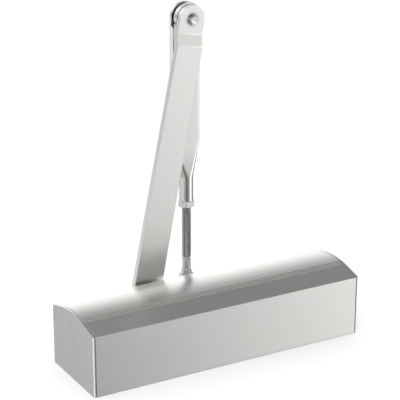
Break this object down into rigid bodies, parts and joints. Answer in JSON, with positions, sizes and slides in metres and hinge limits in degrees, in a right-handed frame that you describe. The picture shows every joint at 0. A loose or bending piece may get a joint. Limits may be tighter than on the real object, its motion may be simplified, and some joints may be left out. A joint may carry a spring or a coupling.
{
  "type": "overhead door closer",
  "caption": "Box-shaped hydraulic door closer with a ribbed arched cover and a folding two-piece arm ending in a frame shoe; a sprung rack and pinion swings the door shut.",
  "frame": {"origin": "middle of the mounting face, centred between the four door screws", "axes": "+X along the body, away from the spindle end; +Y along the spindle towards the arms; +Z away from the door, square to the mounting face"},
  "size_m": [0.24, 0.105, 0.2726],
  "materials": {
    "cover_aluminium": "satin anodised, brushed along its length",
    "cap_aluminium": "satin anodised, brushed upright",
    "zinc_plated_sheet": "bright zinc plate",
    "cast_aluminium": "as cast, bores machined",
    "turned_steel": "turned, lightly oiled",
    "spring_steel": "oil-tempered wire",
    "bearing_bronze": "plain bearing metal",
    "valve_brass": "turned",
    "seal_rubber": "smooth moulded",
    "silver_arm": "satin silver plate",
    "zinc_plated_steel": "bright zinc plate"
  },
  "bodies": {
    "closer": {"cover": "cover_aluminium", "left_end_cap": "cap_aluminium", "right_end_cap": "cap_aluminium", "mounting_plate": "zinc_plated_sheet", "body_screws": "zinc_plated_steel", "closer_body": "cast_aluminium", "left_end_plug": "turned_steel", "right_end_plug": "turned_steel", "left_plug_seal": "seal_rubber", "right_plug_seal": "seal_rubber", "return_spring": "spring_steel", "upper_spindle_bearing": "bearing_bronze", "lower_spindle_bearing": "bearing_bronze", "gland_nut": "turned_steel", "spindle_seal": "seal_rubber", "lower_spindle_cap": "turned_steel"},
    "spindle": {"pinion_spindle": "turned_steel", "main_arm": "silver_arm", "arm_screw": "zinc_plated_steel"},
    "piston": {"rack_piston": "turned_steel", "check_valve_retainer": "turned_steel"},
    "check_ball": {"check_valve_ball": "turned_steel"},
    "forearm": {"forearm": "silver_arm", "lock_nut": "zinc_plated_steel", "elbow_rivet": "silver_arm", "elbow_spacer": "turned_steel"},
    "rod": {"adjusting_rod": "zinc_plated_steel"},
    "shoe": {"frame_shoe": "silver_arm", "shoe_pin": "zinc_plated_steel"},
    "closing_valve": {"closing_speed_valve": "valve_brass"},
    "latching_valve": {"latching_speed_valve": "valve_brass"}
  },
  "joints": [
    {"name": "spindle_turn", "type": "hinge", "parent": "closer", "child": "spindle", "pos_m": [-0.037, 0, 0.025], "axis": [0, -1, 0], "range_deg": [0, 170], "stiffness_Nm_per_rad": 5, "springref_deg": -57.3},
    {"name": "piston_slide", "type": "slide", "parent": "closer", "child": "piston", "axis": [1, 0, 0], "range_m": [0, 0.0268], "deforming": ["return_spring"]},
    {"name": "check_ball_lift", "type": "slide", "parent": "piston", "child": "check_ball", "axis": [1, 0, 0], "range_m": [0, 0.0016]},
    {"name": "elbow_turn", "type": "hinge", "parent": "spindle", "child": "forearm", "pos_m": [0.01052, 0.0552, 0.25984], "axis": [0, -1, 0], "continuous": true},
    {"name": "rod_adjust", "type": "slide", "parent": "forearm", "child": "rod", "axis": [0, 0, -1], "range_m": [-0.0095, 0.006]},
    {"name": "shoe_turn", "type": "hinge", "parent": "rod", "child": "shoe", "pos_m": [0.01052, 0.0552, 0.02404], "axis": [0, -1, 0], "range_deg": [-90, 90]},
    {"name": "closing_valve_turn", "type": "hinge", "parent": "closer", "child": "closing_valve", "pos_m": [-0.0988, 0.016, 0.041], "axis": [-1, 0, 0], "range_deg": [-180, 180]},
    {"name": "latching_valve_turn", "type": "hinge", "parent": "closer", "child": "latching_valve", "pos_m": [-0.0988, -0.016, 0.041], "axis": [-1, 0, 0], "range_deg": [-180, 180]}
  ],
  "couplings": [
    {"joint": "piston_slide", "follows": "spindle_turn", "m_per_rad": 0.009}
  ]
}
